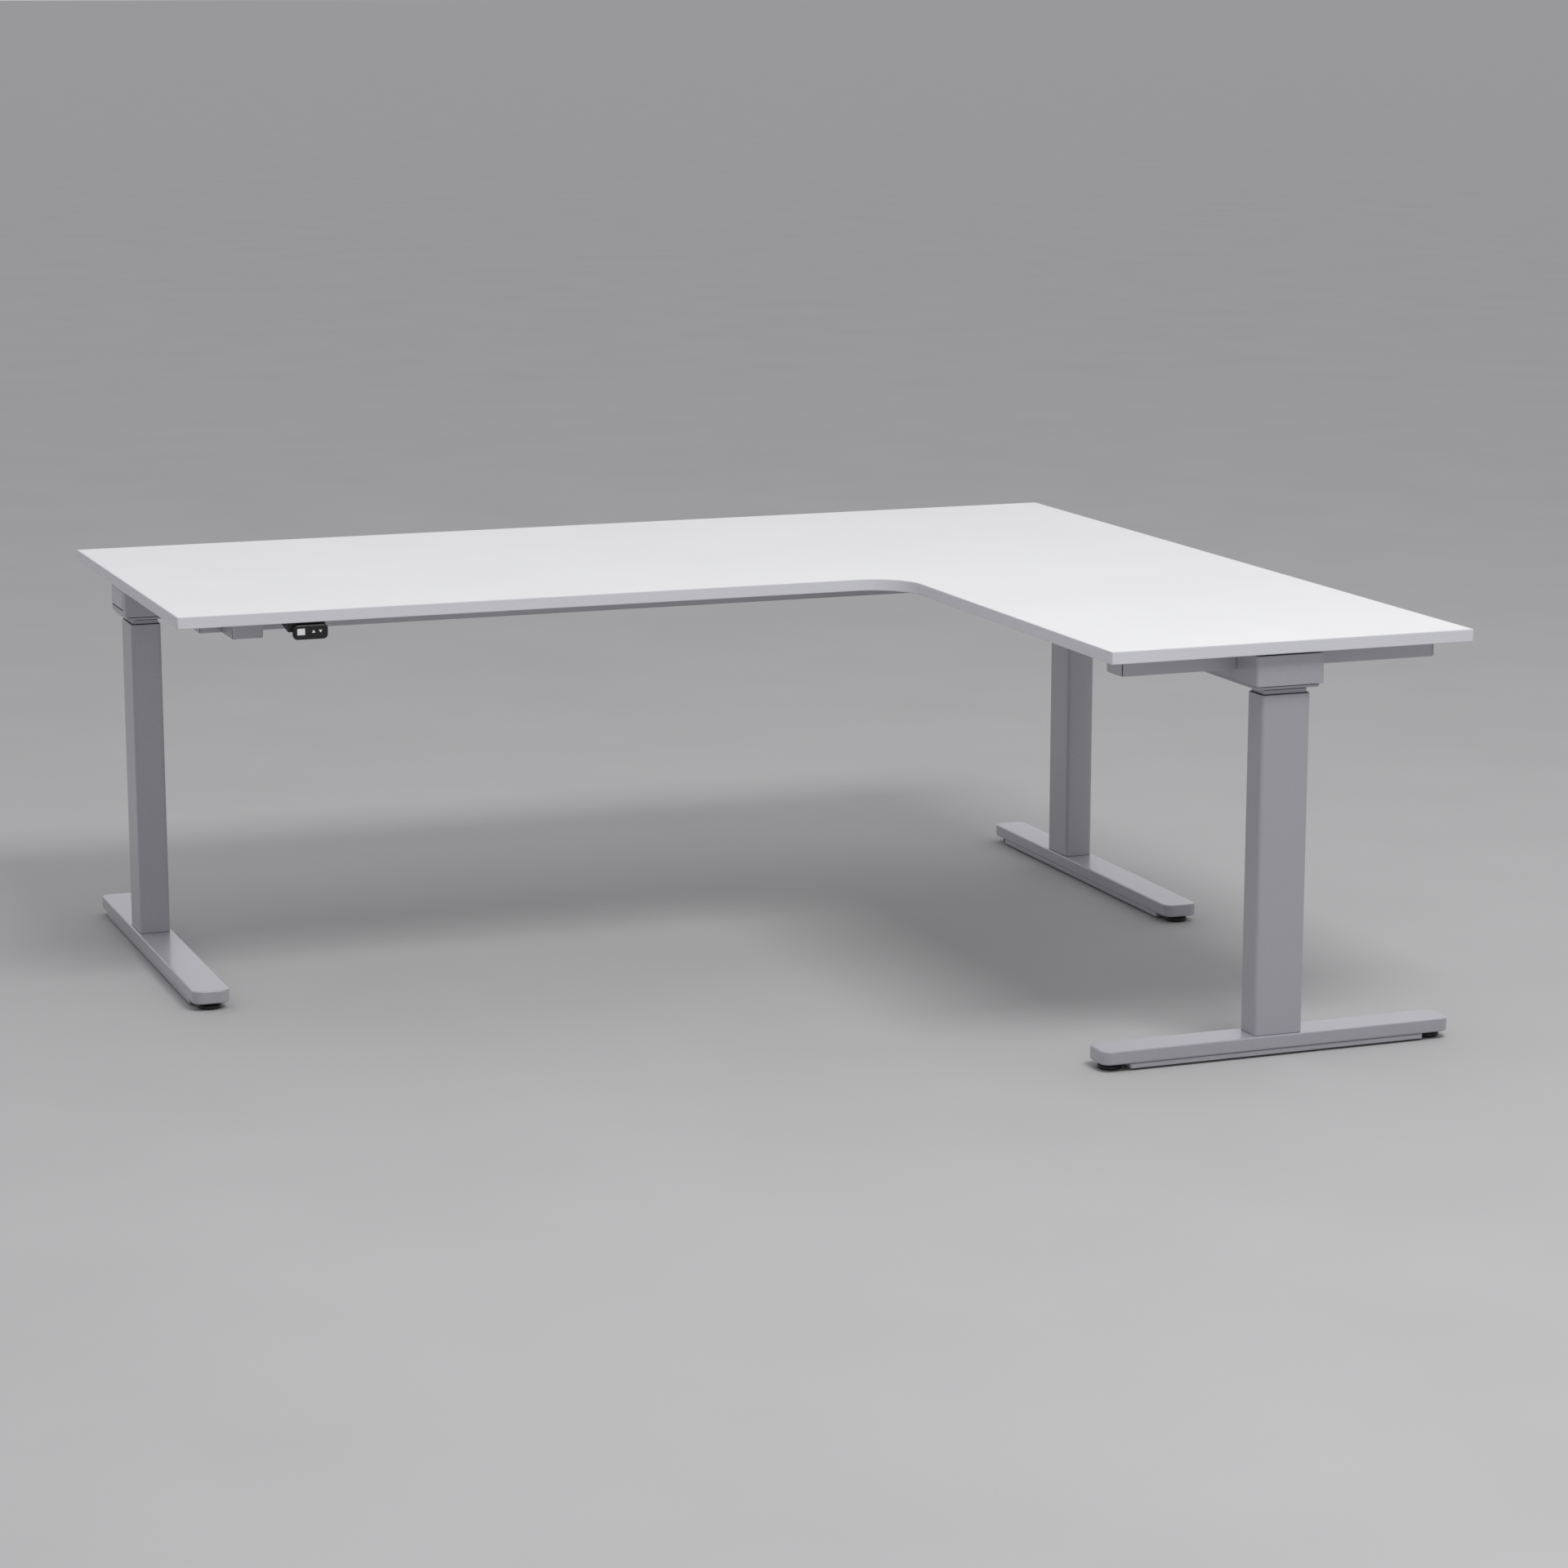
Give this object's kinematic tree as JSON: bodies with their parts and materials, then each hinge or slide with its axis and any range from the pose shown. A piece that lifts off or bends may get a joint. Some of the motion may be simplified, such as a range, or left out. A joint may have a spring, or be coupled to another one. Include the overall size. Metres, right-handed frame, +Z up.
{
  "type": "height adjustable corner desk",
  "caption": "L-shaped sit-stand desk: white laminate top with a short return wing on telescopic motor-driven columns with flat steel feet and an under-top handset.",
  "frame": {"origin": "on the floor under the centre of the top's 1.8 x 1.6 m bounding rectangle", "axes": "+X to the user's right along the long wing, +Y to the back edge, +Z up; the return wing points along -Y at +X"},
  "size_m": [1.8, 1.6, 0.64],
  "materials": {
    "board": "white melamine-faced chipboard, fine satin texture",
    "edge": "white-grey ABS edge band, satin",
    "silver": "silver aluminium powder coat on steel, fine metallic satin",
    "steel": "machined and zinc-plated steel",
    "plastic": "black moulded ABS, fine spark texture",
    "nylon": "grey moulded nylon",
    "lead": "black PVC sheath"
  },
  "bodies": {
    "base": {"foot_left": "silver", "foot_rail_left": "silver", "glide_front_left": "plastic", "glide_back_left": "plastic", "outer_tube_left": "silver", "outer_sleeve_left": "nylon", "lift_nut_left": "steel", "foot_corner": "silver", "foot_rail_corner": "silver", "glide_front_corner": "plastic", "glide_back_corner": "plastic", "outer_tube_corner": "silver", "outer_sleeve_corner": "nylon", "lift_nut_corner": "steel", "foot_return": "silver", "foot_rail_return": "silver", "glide_outer_return": "plastic", "glide_inner_return": "plastic", "outer_tube_return": "silver", "outer_sleeve_return": "nylon", "lift_nut_return": "steel"},
    "middle_left": {"middle_tube_left": "silver", "middle_sleeve_left": "nylon", "hollow_spindle_left": "steel"},
    "middle_corner": {"middle_tube_corner": "silver", "middle_sleeve_corner": "nylon", "hollow_spindle_corner": "steel"},
    "middle_return": {"middle_tube_return": "silver", "middle_sleeve_return": "nylon", "hollow_spindle_return": "steel"},
    "top": {"worktop": "board", "edge_band": "edge", "inner_tube_left": "silver", "drive_spindle_left": "steel", "gear_motor_left": "steel", "motor_housing_left": "silver", "housing_cover_left": "silver", "support_arm_left": "silver", "inner_tube_corner": "silver", "drive_spindle_corner": "steel", "gear_motor_corner": "steel", "motor_housing_corner": "silver", "housing_cover_corner": "silver", "support_arm_corner": "silver", "inner_tube_return": "silver", "drive_spindle_return": "steel", "gear_motor_return": "steel", "motor_housing_return": "silver", "housing_cover_return": "silver", "support_arm_return": "silver", "front_rail": "silver", "long_beam": "silver", "return_beam": "silver", "control_box": "plastic", "handset_base": "plastic", "motor_lead_left": "lead", "motor_lead_corner": "lead", "motor_lead_return": "lead", "handset_lead": "lead"},
    "paddle": {"handset_paddle": "plastic"}
  },
  "joints": [
    {"name": "lift", "type": "slide", "parent": "base", "child": "top", "axis": [0, 0, 1], "range_m": [0, 0.65]},
    {"name": "middle_stage_left", "type": "slide", "parent": "base", "child": "middle_left", "axis": [0, 0, 1], "range_m": [0, 0.325]},
    {"name": "middle_stage_corner", "type": "slide", "parent": "base", "child": "middle_corner", "axis": [0, 0, 1], "range_m": [0, 0.325]},
    {"name": "middle_stage_return", "type": "slide", "parent": "base", "child": "middle_return", "axis": [0, 0, 1], "range_m": [0, 0.325]},
    {"name": "handset_rock", "type": "hinge", "parent": "top", "child": "paddle", "pos_m": [-0.691, 0.02, 0.61], "axis": [1, 0, 0], "range_deg": [-5, 5], "stiffness_Nm_per_rad": 0.8}
  ],
  "couplings": [
    {"joint": "middle_stage_left", "follows": "lift", "ratio": 0.5},
    {"joint": "middle_stage_corner", "follows": "lift", "ratio": 0.5},
    {"joint": "middle_stage_return", "follows": "lift", "ratio": 0.5}
  ]
}
